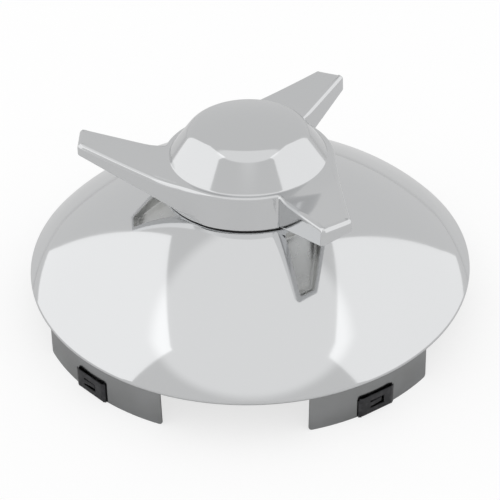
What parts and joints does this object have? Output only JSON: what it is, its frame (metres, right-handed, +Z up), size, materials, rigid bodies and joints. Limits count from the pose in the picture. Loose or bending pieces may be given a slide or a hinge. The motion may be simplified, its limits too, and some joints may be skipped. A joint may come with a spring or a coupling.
{
  "type": "spinner hubcap",
  "caption": "Chromed front hub cover for a truck wheel: domed sheet cap with a slotted spring skirt and tension clips, and a hollow cast spinner with swept bars screwed on its crown.",
  "frame": {"origin": "on the cap's axis, at the lower edges of the skirt's tabs, which the cap stands on", "axes": "+Z up along the cap's axis towards the spinner; -Y is the side that the picture looks from, with +X to its right"},
  "size_m": [0.222, 0.2222, 0.0962],
  "materials": {
    "chromed_sheet": "bright chrome plating on a polished drawn steel sheet",
    "chromed_casting": "bright chrome plating on a buffed zinc die casting",
    "spring_steel": "black oxide on tempered spring steel, satin",
    "rubber": "matt black rubber sheet",
    "zinc_plate": "bright zinc plating on steel"
  },
  "bodies": {
    "root": {"cap_shell": "chromed_sheet", "spinner": "chromed_casting", "spinner_gasket": "rubber", "clip_1": "spring_steel", "clip_2": "spring_steel", "clip_3": "spring_steel", "clip_4": "spring_steel", "clip_5": "spring_steel", "screw_1": "zinc_plate", "screw_2": "zinc_plate", "screw_3": "zinc_plate", "lock_washer_1": "zinc_plate", "lock_washer_2": "zinc_plate", "lock_washer_3": "zinc_plate", "flat_washer_1": "zinc_plate", "flat_washer_2": "zinc_plate", "flat_washer_3": "zinc_plate"}
  },
  "joints": []
}
